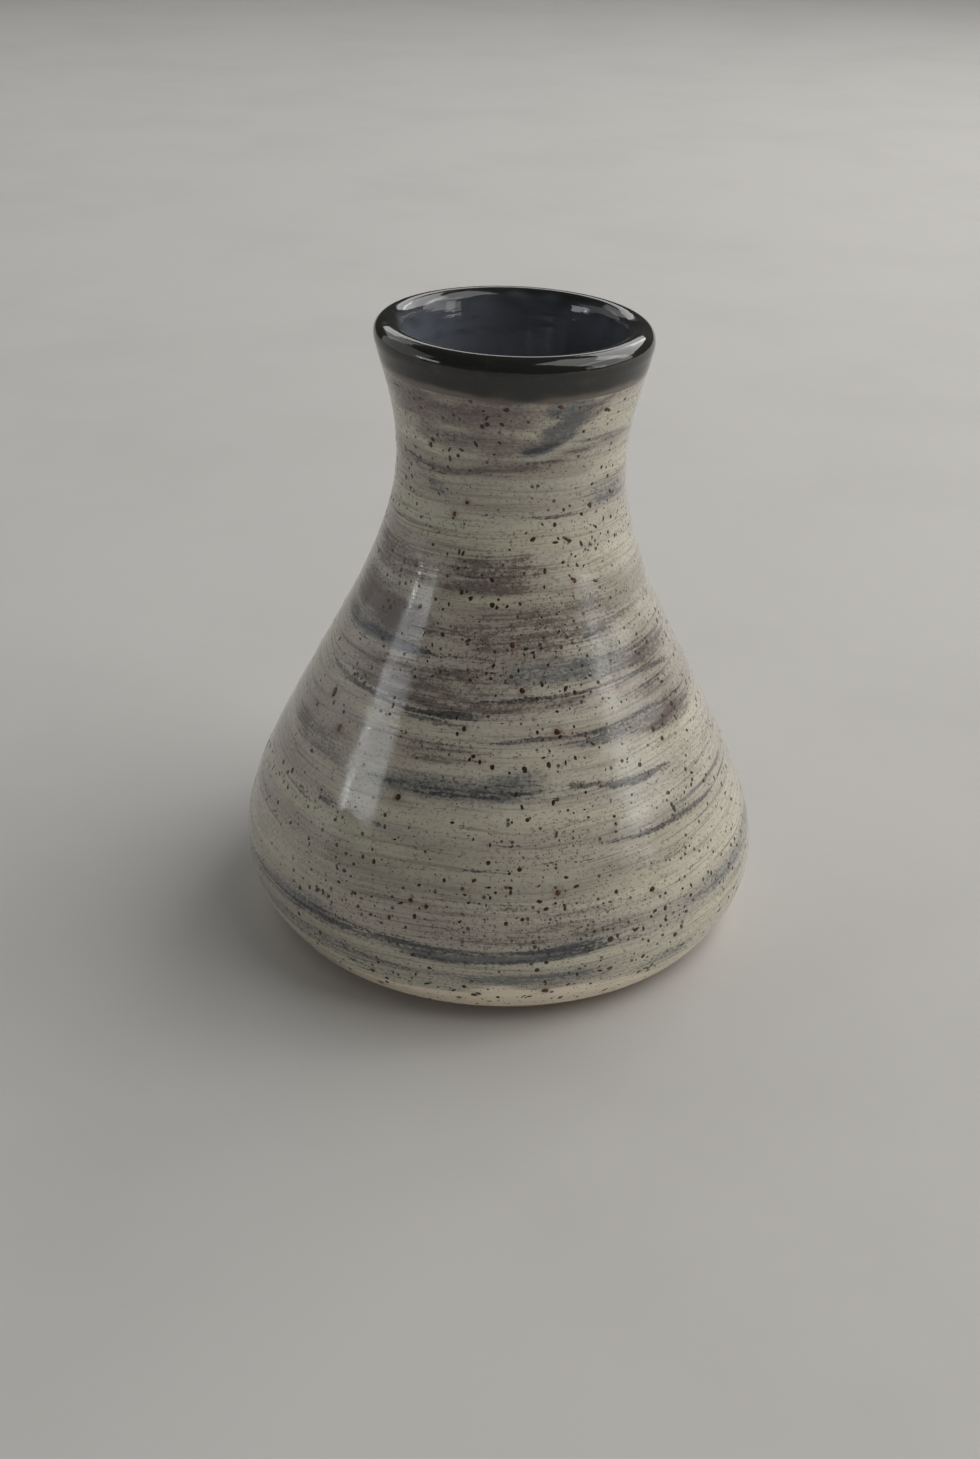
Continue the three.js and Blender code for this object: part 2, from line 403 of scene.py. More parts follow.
# Each stroke: from angle, from height, to angle, to height, width, pressure, bow.
# Angles in degrees from the front, heights and widths in millimetres. Pressure 1 covers
# fully and lower pressures leave bristle marks. Bow lifts the middle of the stroke.
brushwork = {
    "ink": [
        (-84, 62, 4, 60.8, 1, 1, -0.5), (-62, 61.1, -4, 61.4, 0.8, 0.85, -0.5),
        (-14, 63, 86, 62.2, 0.9, 1, 2), (48, 64.4, 76, 62.6, 1.3, 1, 0.3),
        (-33, 60.5, -9, 58.9, 1.3, 0.85, -0.2), (-88, 70.3, -14, 71.2, 1.4, 1, 0.3),
        (-74, 69, -52, 68.6, 0.6, 0.7, 0.1), (-30, 71.2, 2, 70.8, 1.3, 0.6, 0),
        (-16, 56, 88, 56.4, 0.8, 0.95, 1.2), (16, 56.8, 50, 57, 1.4, 0.66, 0.2),
        (-38, 48.2, 14, 48.4, 2.6, 0.5, 0.1), (-32, 46.9, 15, 48, 0.7, 0.95, 0),
        (-26, 49.4, 6, 49.6, 0.5, 0.65, 0.1), (8, 49.6, 54, 46.2, 1.2, 1, 0.1),
        (26, 47.5, 50, 46.4, 1.2, 0.8, 0), (12, 38.9, 82, 37.4, 1, 0.85, -0.8),
        (30, 37.4, 62, 36.4, 0.6, 0.7, -0.1), (-53, 41.2, -38, 40.2, 0.8, 0.75, 0),
        (-49, 39.9, -43, 39.8, 1.3, 0.9, 0), (-32, 40.2, -27, 40, 1.3, 0.85, 0),
        (-6, 39.4, 12, 38.9, 0.7, 0.6, 0.1), (-30, 33.4, 20, 36.4, 0.6, 0.5, -0.2),
        (-34, 18.7, 30, 19.2, 1.2, 1.05, 0.6), (-24, 17.2, 32, 18.6, 1.2, 1.05, -0.3),
        (-76, 18.4, -2, 18.4, 0.9, 0.85, 0.1), (-58, 17.4, -22, 17.6, 0.6, 0.75, 0.2),
        (-50, 19.6, -6, 20.5, 0.5, 0.7, 0), (-4, 96.6, 50, 96.3, 0.8, 0.75, 0.2),
        (-66, 106, -32, 103.9, 0.7, 0.65, -0.2), (-2, 108.8, 24, 111.8, 1.4, 0.7, 0),
        (0, 107.2, 26, 107.9, 0.6, 0.55, 0), (27, 73.5, 44, 74.3, 0.8, 0.85, 0),
        (-80, 79.4, -48, 79.3, 0.7, 0.6, 0), (10, 85.6, 18, 86.8, 1, 0.85, 0),
        (30, 99.6, 66, 98, 1, 0.55, 0.2), (-68, 14.5, -14, 13, 0.6, 0.55, 0.3),
        (-60, 11.5, -14, 9.6, 0.7, 0.55, 0.2),
    ],
    # an even, wet wash of brown-grey with soft edges
    "veil": [
        (-80, 117, 26, 118, 8.6, 0.84, 0), (-60, 112.4, 14, 112, 6.4, 0.72, 0),
        (-26, 109.6, 56, 123.4, 5.4, 0.72, -3.4), (-56, 105, 46, 109.2, 3, 0.5, -0.8),
        (-90, 77.2, -18, 76, 8.5, 0.85, 0.2), (-84, 85.4, 24, 85.8, 8, 0.42, 0),
        (-36, 76.6, 70, 77.4, 9, 0.42, 0), (-38, 62.2, 40, 64.8, 3.4, 0.5, -0.6),
        (-70, 65.6, 20, 66.6, 6, 0.45, 0), (-84, 48.8, -30, 48.6, 6, 0.45, 0),
        (-26, 22.4, 40, 24.4, 9, 0.3, 0), (40, 57, 84, 56, 8, 0.42, 0), (30, 66, 84, 67, 9, 0.4, 0),
        (44, 77, 88, 77, 7, 0.36, 0),
    ],
    # the same in blue-grey
    "pool": [
        (-2, 109.2, 36, 114.4, 2.8, 0.85, -0.8), (9, 112.6, 36, 117.2, 4.6, 0.8, -0.2),
        (10, 118.6, 40, 120.4, 5.6, 0.72, 0), (-42, 48.6, 20, 48.9, 5.4, 0.72, 0.2),
        (-16, 69.4, 70, 69, 7.4, 0.46, 0), (30, 21, 112, 23, 4.6, 0.46, -0.3),
        (-92, 71, -18, 71, 3.8, 0.8, 0.2), (-90, 18.8, -20, 19, 4.6, 0.48, 0),
        (-30, 18.4, 32, 18.9, 3.6, 0.7, 0.2), (34, 97.6, 84, 98.8, 4, 0.45, 0),
        (-16, 12.8, 32, 12.6, 3.4, 0.36, 0),
    ],
    "taupe": [
        (-74, 117.5, 15, 118, 7.5, 0.42, 0), (-62, 113.8, 9, 112.6, 4, 0.44, 0),
        (-52, 104.8, 52, 110.6, 1.6, 0.66, -1.4), (-78, 103.3, -30, 102, 3, 0.36, 0),
        (26, 117, 54, 122, 2, 0.8, 0), (-80, 85, -38, 84.5, 7, 0.6, 0), (-36, 88, 18, 86, 4.4, 0.75, 0.2),
        (-36, 84, 16, 83.2, 2.8, 0.8, 0), (-84, 77, -24, 76, 6.4, 1, 0.2),
        (-80, 73.4, -28, 72.8, 2, 0.9, 0), (-32, 76.4, 70, 77, 6, 0.65, 0),
        (-20, 72.6, 30, 72.2, 3.2, 0.6, 0), (20, 79.6, 46, 80.4, 3.2, 0.7, 0.2),
        (-60, 66.3, 8, 66.8, 5, 0.62, 0), (-62, 63.2, -6, 63.6, 2.4, 0.72, 0),
        (-34, 62, 34, 64.8, 2.4, 0.58, -0.5), (42, 67, 82, 68.4, 6.4, 0.66, 0),
        (44, 60.4, 76, 60.2, 2.4, 0.62, 0), (44, 55, 76, 54.2, 5.4, 0.78, 0),
        (-30, 54.6, -2, 54.4, 4, 0.5, 0), (-78, 48.8, -42, 48.6, 5, 0.65, 0),
        (-44, 30, 6, 28.6, 6, 0.28, 0), (-24, 22.6, 34, 23.4, 5.4, 0.5, 0),
        (18, 33.4, 52, 31.6, 3, 0.42, 0),
    ],
    "mist": [
        (-82, 71.2, -26, 71, 3.2, 0.85, 0.2), (-4, 69.8, 56, 69.4, 6, 0.5, 0),
        (38, 97.8, 74, 99, 4, 0.7, 0), (-45, 100.8, -31, 100.9, 2.4, 0.75, 0),
        (2, 109.6, 34, 114.6, 3, 0.95, -0.5), (10, 112.6, 37, 117, 4.2, 0.66, -0.2),
        (12, 117.2, 38, 120, 4.4, 0.56, 0), (-34, 48.4, 14, 48.9, 4.6, 0.6, 0.2),
        (-80, 19, -28, 19, 4.6, 0.58, 0), (-30, 18.6, 27, 19, 3.4, 0.9, 0.2),
        (-74, 13, -11, 12.4, 4, 0.5, 0), (-12, 13.2, 27, 12.6, 3.2, 0.62, 0.2),
        (32, 11.6, 50, 11, 3, 0.6, 0), (36, 21.2, 106, 23, 4, 0.5, -0.3),
        (18, 38.4, 62, 38.8, 2.2, 0.36, 0.2), (50, 39.8, 84, 39.6, 0.9, 0.75, 0),
        (18, 56, 52, 56, 2.2, 0.6, 0), (16, 111.6, 66, 110.2, 2.4, 0.4, 0.3),
    ],
    "cream": [
        (-80, 108.6, -16, 108, 2.8, 0.9, 0.3), (-86, 94, 70, 93.4, 7, 0.74, 0),
        (18, 87.4, 84, 87.4, 7, 0.76, 0), (-46, 81, 62, 81, 2.2, 0.8, -0.2), (2, 111.6, 15, 114.6, 3, 1, 0),
        (-58, 58.6, -8, 57.6, 3, 0.75, 0), (14, 60.4, 52, 60, 3.4, 0.4, 0),
        (-60, 43.2, 62, 43, 5.2, 0.7, 0), (-80, 37, -10, 37, 5, 0.7, 0), (-84, 25.6, -20, 25, 4, 0.5, 0),
        (28, 51.6, 86, 50.6, 5, 0.72, 0), (-22, 15.8, 80, 16.4, 2, 0.85, 0.2),
        (-6, 53.8, 46, 53.4, 4, 0.6, 0), (12, 31, 96, 30, 13, 0.8, 0), (14, 12.4, 92, 14, 6.5, 0.85, 0),
        (-88, 7.6, 20, 7, 6, 0.9, 0), (10, 7.4, 110, 8, 6, 0.95, 0), (14, 37, 66, 36, 5, 0.55, 0),
        (-34, 34.4, 26, 34.6, 5, 0.55, 0), (24, 25, 92, 24.6, 5, 0.6, 0), (30, 116, 84, 112, 7, 0.85, 0.6),
        (34, 104, 86, 104, 5, 0.8, 0), (-40, 98.6, 20, 101.4, 3, 0.35, 0),
        (-84, 37.6, -20, 37.4, 3.4, 0.6, 0), (12, 49.5, 18, 49.3, 0.8, 0.95, 0.3),
    ],
    "pepper": [
        (-20, 23, 38, 24, 11, 1, 0), (-50, 24, -16, 23, 5, 0.6, 0), (4, 39, 24, 39.5, 5, 0.8, 0),
        (20, 80, 62, 80.6, 4, 0.9, 0), (-14, 71, 40, 77, 10, 0.7, 0), (22, 55.8, 42, 55.8, 2.4, 1, 0),
        (-28, 56.4, 0, 55, 4, 0.5, 0), (40, 31.4, 52, 31.2, 3, 0.8, 0), (-20, 86, 14, 85.6, 6, 0.5, 0),
        (34, 12, 50, 11, 3, 0.7, 0),
    ],
}

brushing = dict(
    seed=5,
    backStrokes=77,         # strokes on the side turned away, laid at random
    backFrom=82.0,          # angle at which they take over from the ones above
    backHeights=(10, 118),
    # tone, widths in millimetres and reaches in degrees, in turn
    backKinds=(("ink", (0.8, 1.8), (20, 60)), ("taupe", (2.5, 7), (40, 90)),
               ("mist", (2.5, 5.5), (35, 80)), ("cream", (2.5, 6.5), (40, 100)),
               ("veil", (3, 8), (50, 110)), ("pool", (2.5, 5.5), (35, 90)),
               ("pepper", (3, 9), (25, 60))),
    endShare=0.26,          # share of a stroke's length that fades at each end
    combing=0.11,           # how far the bristles straggle at the ends, as a share too
    softTop=0.9,            # the upper edge of a stroke is feathered
    softBelow=0.45,         # the lower edge is crisper
    # slow noises: how busy round the vase and for each millimetre up it, seed, strength
    wander=(3.0, 0.05, 2.0, 1.6),
    waver=(5.0, 0.3, 9.0, 1.6),
    straggle=(1.2, 1.3, 4.0, 1.8),
    rimWaver=(6.0, 0.4, 5.0, 1.0),
    footEdge=6.0,           # the slip stops about this high above the table
    footRise=(4.6, 7, 24),  # and this much higher, round this angle, over this spread
    rimBleed=121.4,         # the rim's dark glaze runs down to about here
    rimSag=(1.0, 3, 20),    # and this much lower, round this angle, over this spread
)


def smoothStep(value, low, high):
    t = np.clip((value - low) / (high - low), 0.0, 1.0)
    return t * t * (3 - 2 * t)


def slowNoise(angle, height, perTurn, perMillimetre, seed, strength):
    # a soft noise for each vertex that closes on itself round the vase
    turn = np.radians(angle)
    spots = np.stack([np.sin(turn) * perTurn + seed, np.cos(turn) * perTurn - seed,
                      height * perMillimetre + seed * 1.7], axis=1)
    return np.array([noise.noise(spot) for spot in spots.tolist()]) * strength


def swellAt(angle, amount, middle, spread):
    return amount * np.exp(-((angle - middle) / spread) ** 2)


def rimEdge(angle):
    # how low the rim's dark glaze has run, at each angle
    return brushing["rimBleed"] - swellAt(angle, *brushing["rimSag"])


def strokeMask(angle, height, stroke, wander, ragged):
    fromAngle, fromHeight, toAngle, toHeight, width, pressure, bow = stroke
    middle = (fromAngle + toAngle) / 2
    share = ((angle - middle + 180) % 360 - 180) / (toAngle - fromAngle) + 0.5
    t = np.clip(share, 0, 1)
    centre = fromHeight + (toHeight - fromHeight) * t + bow * 4 * t * (1 - t)
    centre = centre + wander * min(0.4 * width, 0.9)
    # each row of bristles lifts off at its own place, so the ends are combed out
    ends = brushing["endShare"]
    combed = share + ragged * brushing["combing"]
    fade = smoothStep(combed, -0.04, ends) * (1 - smoothStep(combed, 1 - ends, 1.04))
    half = width / 2 * (0.45 + 0.65 * fade) * (1 + 0.3 * wander)
    above = 1 - smoothStep(height - centre, (1 - brushing["softTop"]) * half, 1.4 * half)
    below = 1 - smoothStep(centre - height, (1 - brushing["softBelow"]) * half, 1.2 * half)
    return pressure * fade * above * below


def backOfTheVase(rng):
    # the same kinds of stroke for the side that faces away
    made = {tone: [] for tone in brushwork}
    for number in range(brushing["backStrokes"]):
        tone, widths, reaches = brushing["backKinds"][number % len(brushing["backKinds"])]
        reach = rng.uniform(*reaches)
        start = rng.uniform(brushing["backFrom"], 360 - brushing["backFrom"] - reach)
        low = rng.uniform(*brushing["backHeights"])
        made[tone].append((start, low, start + reach, low + rng.uniform(-1.5, 1.5),
                           rng.uniform(*widths), rng.uniform(0.55, 1.0), rng.uniform(-0.5, 0.5)))
    return made


def readPlaces(mesh):
    # for each vertex: its place, its angle round the leaning axis, and its height as thrown in mm
    count = len(mesh.vertices)
    places, height = np.zeros(count * 3), np.zeros(count)
    mesh.vertices.foreach_get("co", places)
    places = places.reshape(-1, 3)
    mesh.attributes["turnHeight"].data.foreach_get("value", height)
    angle = np.degrees(np.arctan2(places[:, 0] - axisAt(height), -places[:, 1]))
    return places, angle, height / mm


def keep(mesh, name, values):
    attribute = mesh.attributes.new(name, "FLOAT", "POINT")
    attribute.data.foreach_set("value", np.ascontiguousarray(values, dtype=np.float32))


def layBrushwork(mesh):
    _, angle, height = readPlaces(mesh)
    wander = slowNoise(angle, height, *brushing["wander"])
    edge = slowNoise(angle, height, *brushing["waver"])
    ragged = slowNoise(angle, height, *brushing["straggle"])
    back = backOfTheVase(np.random.default_rng(brushing["seed"]))
    for tone, strokes in brushwork.items():
        mask = np.zeros(len(height))
        straggle = ragged * (0.0 if tone in ("veil", "pool") else 1.0)
        for stroke in strokes + back[tone]:
            mask = np.maximum(mask, strokeMask(angle, height, stroke, wander, straggle))
        keep(mesh, tone, mask)
    # the bare band at the foot is deeper near the front
    footEdge = brushing["footEdge"] + swellAt(angle, *brushing["footRise"])
    keep(mesh, "bare", 1 - smoothStep(height + edge + ragged * 0.7, footEdge - 0.8, footEdge + 0.8))
    bleedEdge = rimEdge(angle)
    keep(mesh, "bleed", smoothStep(height + edge * 0.6, bleedEdge - 1.6, bleedEdge + 0.6))


# Glazes and clay.

def newMaterial(name, **fixed):
    material = bpy.data.materials.new(name)
    material.use_nodes = True
    tree = material.node_tree
    shader = tree.nodes["Principled BSDF"]
    for socket, value in fixed.items():
        shader.inputs[socket].default_value = value
    spot = tree.nodes.new("ShaderNodeTexCoord").outputs["Object"]
    return material, shader, spot


def readTone(material, name):
    # what was painted on a piece under this name
    return addNode(material.node_tree, "ShaderNodeAttribute", {}, attribute_name=name).outputs["Fac"]


def blendTo(under, over, share):
    sockets = {"Factor": share, "A": under, "B": over}
    return addNode(share.id_data, "ShaderNodeMix", sockets, data_type="RGBA").outputs["Result"]


def cellsAt(vector, scale):
    # scattered cells: the distance from each one's middle, and two random shares for it
    tree = vector.id_data
    cells = addNode(tree, "ShaderNodeTexVoronoi", {"Vector": vector, "Scale": scale})
    chance = addNode(tree, "ShaderNodeSeparateColor", {0: cells.outputs["Color"]})
    return cells.outputs["Distance"], chance.outputs[0], chance.outputs[1]


def addBump(shader, height, distance, strength, before=None):
    sockets = {"Strength": strength, "Distance": distance, "Height": height}
    if before:
        sockets["Normal"] = before
    node = addNode(shader.id_data, "ShaderNodeBump", sockets)
    feed(shader.inputs["Normal"], node)
    return node


def addFinish(shader, colour, grain, span, roughness):
    # the colour, and a roughness that goes from low to high over a span of some grain
    feed(shader.inputs["Base Color"], colour)
    feed(shader.inputs["Roughness"], rampTo(grain, *span, *roughness))


slipGlaze = dict(
    base=tint(184, 179, 164),
    blush=tint(170, 156, 148),  # faint violet-brown patches in the pale slip
    shade=tint(134, 127, 115),  # the clay showing through between the hairs of the brush
    cream=tint(201, 198, 175),
    veil=tint(112, 101, 97),
    pool=tint(93, 96, 98),
    taupe=tint(96, 86, 81),
    mist=tint(94, 97, 98),
    ink=tint(56, 56, 59),
    bareClay=tint(242, 228, 205),
    pepper=tint(60, 52, 44),
    rust=tint(112, 74, 44),
    rimDark=tint(72, 62, 53),
    roughness=(0.09, 0.18),
    # how much each size of brush mark breaks up a stroke
    clumpGrain=0.9,
    bristleGrain=1.1,
    hairGrain=0.9,
    dryGrain=1.3,
    blotGrain=0.9,
    # iron pepper: cells for each metre, share with a dot, more where the clay is rich, least size
    coarsePepper=(950.0, 0.08, 0.26, 0.13),
    dustPepper=(2000.0, 0.13, 0.48, 0.17),
    relief=(0.00014, 0.5),      # distance and strength of the brush marks' bump
    orangePeel=(0.00003, 0.4),
)


def makeSlipGlaze():
    settings = slipGlaze
    material, shader, spot = newMaterial("brushedSlipUnderClearGlaze", IOR=1.5)
    x, y, z = parts(spot)

    # Brush marks run round the vase: long across, thin up and down, with a slow waver.
    # The hairs and the clumps lean in opposite ways, as strokes that cross do.
    def leaning(slope, waver, seed):
        lifted = times(minus(noiseAt(spot, seed, 1.0), 0.5), waver)
        return joined(x, y, plus(z, plus(lifted, times(x, slope))))

    rising, falling = leaning(-0.03, 0.005, 24.0), leaning(0.035, 0.004, 31.0)
    clumps = streaksAt(falling, 9, 430)
    bristles = streaksAt(rising, 28, 1400, 2.0, 0.6)
    hairs = streaksAt(rising, 90, 3000, 2.0, 0.6)
    bands = streaksAt(falling, 12, 150)
    dry = streaksAt(spot, 1300, 2000, 2.0, 0.65)
    blots = streaksAt(rising, 180, 520, 3.0, 0.6)
    clouds = streaksAt(falling, 22, 90, 3.0, 0.6)

    def grained(value, share):
        return times(minus(value, 0.5), share)

    marks = plus(*(grained(value, settings[name + "Grain"]) for name, value in (
        ("clump", clumps), ("bristle", bristles), ("hair", hairs), ("dry", dry), ("blot", blots))))

    def strokeOf(name, wash, low=0.34, high=0.80):
        # part of a stroke is an even wash and part is left by single bristles
        pressure = readTone(material, name)
        lines = rampTo(plus(pressure, marks), low, high)
        return plus(times(pressure, wash), times(lines, 1.0 - wash))

    def wet(name):
        damp = plus(grained(dry, 0.9), grained(blots, 0.8), grained(clumps, 0.7))
        return rampTo(plus(readTone(material, name), damp), 0.08, 1.0)

    def pepperOf(scale, plain, rich, smallest):
        # a dot in a share of the cells, more where the clay is rich in iron
        distance, chance, spread = cellsAt(spot, scale)
        likely = plus(times(readTone(material, "pepper"), rich), plain)
        beyond = minus(distance, plus(times(spread, 0.2), smallest))
        return times(calc("LESS_THAN", chance, likely), rampTo(beyond, 0.0, 0.14, 1.0, 0.0))

    fine = plus(times(hairs, 0.5), times(bristles, 0.5))
    dragged = times(rampTo(bristles, 0.60, 0.70), rampTo(clouds, 0.44, 0.62))
    # ink lies thick in places and thin in others
    thickness = rampTo(plus(grained(clumps, 1.0), dry), 0.25, 0.75, 0.5, 0.95)

    # one layer over another: its tone, where it lies, and how much it covers at most
    layers = (
        ("shade", rampTo(bands, 0.42, 0.66), 0.45),
        ("blush", rampTo(clouds, 0.46, 0.68), 0.55),
        ("cream", strokeOf("cream", 0.5), 0.75),
        ("shade", rampTo(fine, 0.47, 0.62), 0.58),    # the clay colour between the hairs
        ("shade", rampTo(dry, 0.46, 0.74), 0.68),
        ("pool", dragged, 0.5),     # single dark hairs, in drifts
        ("veil", wet("veil"), 0.85),
        ("pool", wet("pool"), 0.85),
        ("taupe", strokeOf("taupe", 0.45), 0.85),
        ("mist", strokeOf("mist", 0.45), 0.85),
        ("ink", times(strokeOf("ink", 0.30, 0.36, 0.72), thickness), 1.0),
        ("bareClay", readTone(material, "bare"), 0.85),
        ("rust", readTone(material, "halo"), 0.7),
        ("pepper", pepperOf(*settings["dustPepper"]), 0.6),
        ("pepper", pepperOf(*settings["coarsePepper"]), 0.85),
        ("rimDark", readTone(material, "bleed"), 1.0),
    )
    colour = settings["base"]
    for tone, share, most in layers:
        colour = blendTo(colour, settings[tone], times(share, most))

    patchy = noiseAt(spot, 160.0, 3.0, 0.6)
    addFinish(shader, colour, patchy, (0.3, 0.7), settings["roughness"])
    relief = plus(times(bristles, 0.35), times(clumps, 0.65))
    soft = addBump(shader, relief, *settings["relief"])
    addBump(shader, noiseAt(spot, 520.0, 1.0), *settings["orangePeel"], soft)
    return material


darkGlaze = dict(
    rim=tint(35, 36, 33),
    rimThin=tint(70, 65, 58),   # where the glaze runs thin over an edge
    rimEnd=tint(118, 107, 98),  # and where it ends and the slip shows through
    # the inside's blue-grey glaze, painted lighter than it is: painted light for the light from the front
    # that falls into the mouth
    liner=tint(94, 98, 106),
    linerDeep=tint(62, 66, 75),
    runShare=0.6,               # how much of the second tone the runs show
    roughness=(0.04, 0.11),
    relief=(0.0003, 0.35),      # distance and strength of the runs' bump
    orangePeel=(0.00005, 0.4),
)


def makeDarkGlaze(name, thick, thin):
    material, shader, spot = newMaterial(name, IOR=1.55)
    runs = streaksAt(spot, 60, 420, 3.0, 0.55)
    blotches = noiseAt(spot, 240.0, 3.0, 0.6)
    mixed = plus(times(runs, 0.6), times(blotches, 0.4))
    share = times(rampTo(mixed, 0.48, 0.72), darkGlaze["runShare"])
    colour = blendTo(darkGlaze[thick], darkGlaze[thin], share)
    # only the rim coat has these tones: they read as nothing on the liner
    colour = blendTo(colour, darkGlaze["rimThin"], times(readTone(material, "thinning"), 0.45))
    colour = blendTo(colour, darkGlaze["rimEnd"], times(readTone(material, "ending"), 0.75))
    # the inside tones carry painted light for the light from the front that falls into the mouth
    inside = blendTo(darkGlaze["liner"], darkGlaze["linerDeep"], share)
    colour = blendTo(colour, inside, readTone(material, "inward"))
    addFinish(shader, colour, blotches, (0.35, 0.7), darkGlaze["roughness"])
    soft = addBump(shader, runs, *darkGlaze["relief"])
    addBump(shader, noiseAt(spot, 420.0, 1.0), *darkGlaze["orangePeel"], soft)
    return material


bareClay = dict(
    body=tint(186, 162, 134),
    dark=tint(150, 126, 102),
    grit=tint(70, 54, 42),
    gritCells=700.0,
    gritShare=0.12,        # share of the cells that hold a grain
    roughness=(0.72, 0.9),
    ringSpacing=2.2 * mm,  # turning rings left by the trimming tool
    rings=(0.00008, 0.5),  # distance and strength of their bump
    sand=(0.00012, 0.6),
)


def makeBareClay():
    material, shader, spot = newMaterial("bareSpeckledStoneware")
    mottles = noiseAt(spot, 90.0, 4.0, 0.6)
    sand = noiseAt(spot, 2600.0, 2.0, 0.6)
    colour = blendTo(bareClay["body"], bareClay["dark"], rampTo(mottles, 0.4, 0.75))
    distance, chance, _ = cellsAt(spot, bareClay["gritCells"])
    dot = minus(1.0, rampTo(distance, 0.16, 0.34))
    grit = times(dot, calc("LESS_THAN", chance, bareClay["gritShare"]))
    colour = blendTo(colour, bareClay["grit"], times(grit, 0.8))
    addFinish(shader, colour, sand, (0.3, 0.7), bareClay["roughness"])
    x, y, _ = parts(spot)
    radius = calc("SQRT", plus(times(x, x), times(y, y)))
    ring = calc("SINE", times(radius, math.tau / bareClay["ringSpacing"]))
    soft = addBump(shader, ring, *bareClay["rings"])
    addBump(shader, sand, *bareClay["sand"], soft)
    return material


ironSpot = dict(
    core=tint(54, 41, 30),
    rust=tint(112, 72, 40),
    roughness=0.24,
    relief=(0.00004, 0.4),
)


def makeIronSpot():
    material, shader, spot = newMaterial("ironBloom", Roughness=ironSpot["roughness"])
    patch = noiseAt(spot, 900.0, 2.0, 0.6)
    drift = noiseAt(spot, 45.0, 1.0)
    rusty = times(rampTo(patch, 0.50, 0.72), rampTo(drift, 0.36, 0.58))
    feed(shader.inputs["Base Color"], blendTo(ironSpot["core"], ironSpot["rust"], rusty))
    addBump(shader, patch, *ironSpot["relief"])
    return material


slipGlazeMaterial = makeSlipGlaze()
rimMaterial = makeDarkGlaze("darkRimGlaze", "rim", "rimThin")
linerMaterial = makeDarkGlaze("darkLinerGlaze", "liner", "linerDeep")
clayMaterial = makeBareClay()
ironMaterial = makeIronSpot()
print("vase: glazes mixed")


# The four turned pieces. Each closed line is the seen face and then the one against the clay.

def makeOuterSkin():
    against = thinned(sideways(outerLine, profile["coatDepth"]), profile["outerHidden"])
    closed = np.concatenate([outerLine, against[::-1], outerLine[:1]])
    skin = turnPiece("brushedGlazeSkin", closed, slipGlazeMaterial)
    layBrushwork(skin.data)
    return skin


def paintRim(mesh, crownRadius):
    # inside the crown of the lip the coat takes on the blue of the liner, with the liner's painted light
    places, angle, height = readPlaces(mesh)
    radius = np.hypot(places[:, 0] - axisAt(height * mm), places[:, 1])
    edge = slowNoise(angle, height, *brushing["rimWaver"])
    keep(mesh, "inward", smoothStep((crownRadius - radius) / mm + edge * 0.6, 1.2, 3.4))
    outside = radius > crownRadius
    keep(mesh, "thinning", smoothStep(vaseHeight / mm - height + edge * 1.2, 5.8, 8.0) * outside)
    keep(mesh, "ending", smoothStep(rimEdge(angle) - height + edge * 0.5, -0.3, 0.8) * outside)


def makeRim():
    # the rim coat laps a little over the outer skin below it and over the liner inside
    step, lap, sink = profile["rimStep"], profile["rimInnerLap"], profile["rimSink"]
    outside = smoothLine(outerLine[-2:], step)[:-1]
    inside = smoothLine(linerLine[:5], step)[:int(round(lap / step)) + 1]
    line = np.concatenate([outside, rimLine, inside])
    lengths = lengthsAlong(line)
    toInnerEnd = lengths[-1] - lengths
    fromEnd = np.minimum(lengths, toInnerEnd)
    proud = profile["rimProud"] * smoothStep(lengths, 0.0, profile["rimRise"])
    proud = proud * smoothStep(toInnerEnd, lap, profile["rimInnerRise"]) + profile["rimClear"]
    proud = proud - sink * (1 - smoothStep(toInnerEnd, 0.0, lap))
    proud = proud - sink * (1 - smoothStep(lengths, 0.0, step))
    seen = sideways(line, -proud)
    depth = np.minimum(profile["coatDepth"], profile["rimEdge"] + fromEnd)
    against = thinned(sideways(line, depth), profile["rimHidden"])
    closed = np.concatenate([seen, against[::-1], seen[:1]])
    rim = turnPiece("darkRimCoat", closed, rimMaterial)
    paintRim(rim.data, line[:, 0][np.argmax(line[:, 1])])
    return rim


def makeLiner():
    against = thinned(sideways(linerLine, profile["coatDepth"]), profile["linerHidden"])
    closed = np.concatenate([against[::-1], linerLine])
    return turnPiece("darkLinerCoat", closed, linerMaterial)


outerSkin = makeOuterSkin()
rimCoat = makeRim()
linerCoat = makeLiner()
clayBody = turnPiece("clayBody", clayLine, clayMaterial, throwing["hiddenColumns"])
print("vase: turned,", len(outerSkin.data.polygons), "faces in the outer skin")


# Iron specks, melted up through the glaze.

